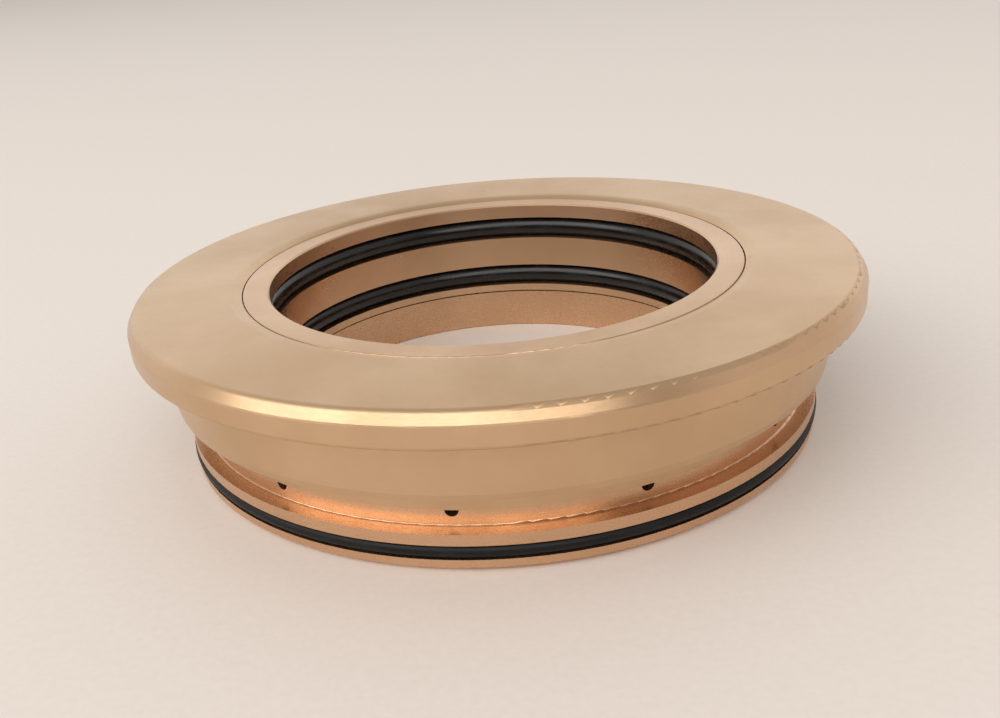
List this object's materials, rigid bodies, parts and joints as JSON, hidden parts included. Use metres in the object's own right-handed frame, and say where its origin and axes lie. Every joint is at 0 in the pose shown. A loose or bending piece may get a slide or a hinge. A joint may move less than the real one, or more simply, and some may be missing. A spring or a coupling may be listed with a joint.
{
  "type": "bearing isolator labyrinth seal cartridge",
  "caption": "Bronze labyrinth bearing seal: a broad-flanged stator with an O-ring on its housing land, around a free-turning rotor that grips the shaft with O-rings.",
  "frame": {"origin": "centre of the stator's inboard face, which the cartridge stands on", "axes": "+Z along the shaft axis, from the inboard face to the broad outboard flange; the part is round, with evenly spaced drain holes"},
  "size_m": [0.1124, 0.1124, 0.025],
  "materials": {
    "stator_bronze": "fine-turned bearing bronze, satin",
    "base_bronze": "turned bearing bronze, satin",
    "rotor_bronze": "fine-turned bearing bronze, satin",
    "drive_rubber": "greased black rubber, glossy",
    "housing_rubber": "dry black rubber, satin"
  },
  "bodies": {
    "stator": {"stator_flange": "stator_bronze", "stator_base": "base_bronze", "housing_o_ring": "housing_rubber"},
    "rotor": {"rotor": "rotor_bronze", "drive_o_ring_upper": "drive_rubber", "drive_o_ring_lower": "drive_rubber"}
  },
  "joints": [
    {"name": "rotor_spin", "type": "hinge", "parent": "stator", "child": "rotor", "pos_m": [0, 0, 0.0153], "axis": [0, 0, 1], "continuous": true}
  ]
}
